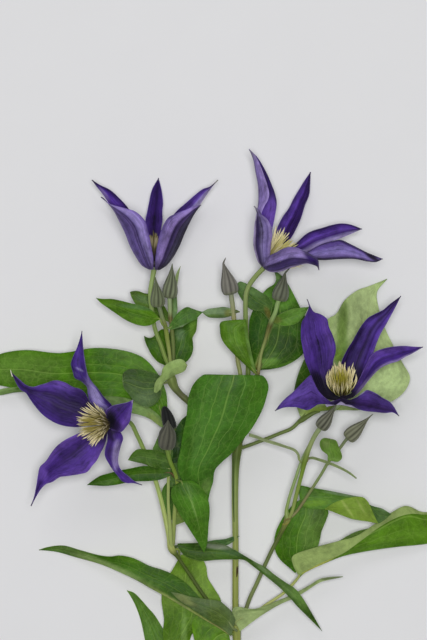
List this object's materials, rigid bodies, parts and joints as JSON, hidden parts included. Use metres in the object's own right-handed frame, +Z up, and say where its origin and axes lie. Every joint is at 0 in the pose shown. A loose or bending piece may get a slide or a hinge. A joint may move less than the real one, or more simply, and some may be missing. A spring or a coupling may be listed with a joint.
{
  "type": "cut clematis spray",
  "caption": "Cut flowering spray lying down: a branching stem with violet star and bell flowers, pointed grey-green buds and smooth pointed leaves.",
  "frame": {"origin": "middle of the outline, on the surface it lies on", "axes": "+Y along the stem from the cut end to the flowers, +Z up from the surface, +X to the right seen from above with the flowers away"},
  "size_m": [0.2824, 0.3738, 0.0733],
  "materials": {
    "sepal": "velvety satin petal",
    "stamen": "matte",
    "leaf": "smooth satin leaf",
    "leaf_underside": "matte leaf underside",
    "stem": "smooth green stem",
    "bud": "downy matte bud"
  },
  "bodies": {
    "root": {"stem_main": "stem", "stem_left": "stem", "stem_right": "stem", "stem_upper_left": "stem", "bud_1": "bud", "bud_2": "bud", "bud_3": "bud", "bud_4": "bud", "bud_5": "bud", "bud_6": "bud", "bud_7": "bud", "bud_8": "bud", "flower_a_sepal_1": "sepal", "flower_a_sepal_2": "sepal", "flower_a_sepal_3": "sepal", "flower_a_sepal_4": "sepal", "flower_a_sepal_5": "sepal", "flower_a_stamens": "stamen", "flower_b_sepal_1": "sepal", "flower_b_sepal_2": "sepal", "flower_b_sepal_3": "sepal", "flower_b_sepal_4": "sepal", "flower_b_sepal_5": "sepal", "flower_b_sepal_6": "sepal", "flower_b_stamens": "stamen", "flower_c_sepal_1": "sepal", "flower_c_sepal_2": "sepal", "flower_c_sepal_3": "sepal", "flower_c_sepal_4": "sepal", "flower_c_sepal_5": "sepal", "flower_c_stamens": "stamen", "flower_d_sepal_1": "sepal", "flower_d_sepal_2": "sepal", "flower_d_sepal_3": "sepal", "flower_d_sepal_4": "sepal", "flower_d_sepal_5": "sepal", "flower_d_stamens": "stamen", "leaf_pair_1": "leaf", "leaf_pair_2": "leaf", "leaf_pair_3": "leaf", "leaf_pair_4": "leaf_underside", "leaf_pair_5": "leaf", "leaf_small_left": "leaf", "leaf_pair_6": "leaf", "leaf_pair_7": "leaf", "leaf_drooping_upper": "leaf", "leaf_drooping_lower": "leaf", "leaf_behind": "leaf", "leaf_pale_back": "leaf_underside", "leaf_pair_8": "leaf", "leaf_hanging": "leaf", "leaf_pair_12": "leaf", "leaf_pair_9": "leaf", "leaf_node_right": "leaf_underside", "leaf_low_left": "leaf", "leaf_low_right": "leaf", "leaf_pair_10": "leaf", "leaf_right_folded": "leaf", "leaf_heart": "leaf", "leaf_pair_11": "leaf"}
  },
  "joints": []
}
